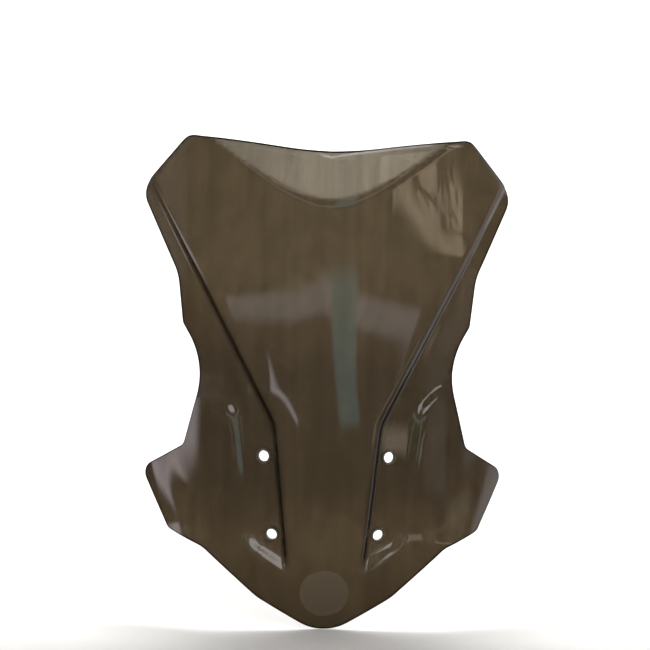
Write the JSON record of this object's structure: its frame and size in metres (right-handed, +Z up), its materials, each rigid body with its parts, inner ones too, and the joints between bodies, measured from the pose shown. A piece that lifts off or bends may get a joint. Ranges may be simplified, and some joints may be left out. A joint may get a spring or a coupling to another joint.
{
  "type": "motorcycle windscreen",
  "caption": "Smoke-tinted touring windscreen with a raised centre panel, kicked top lip, side wings and recessed mounting holes.",
  "frame": {"origin": "middle of the four mounting holes, on the front surface of the centre panel", "axes": "+X across the screen, +Z up along it towards the notched top edge, and the convex front looks along -Y"},
  "size_m": [0.392, 0.1041, 0.5097],
  "materials": {
    "smoked_acrylic": "polished",
    "soft_vinyl": "satin",
    "emblem_acrylic": "polished"
  },
  "bodies": {
    "root": {"windscreen_shell": "smoked_acrylic", "emblem_disc": "emblem_acrylic", "grommet_upper_left": "soft_vinyl", "grommet_upper_right": "soft_vinyl", "grommet_lower_left": "soft_vinyl", "grommet_lower_right": "soft_vinyl"}
  },
  "joints": []
}
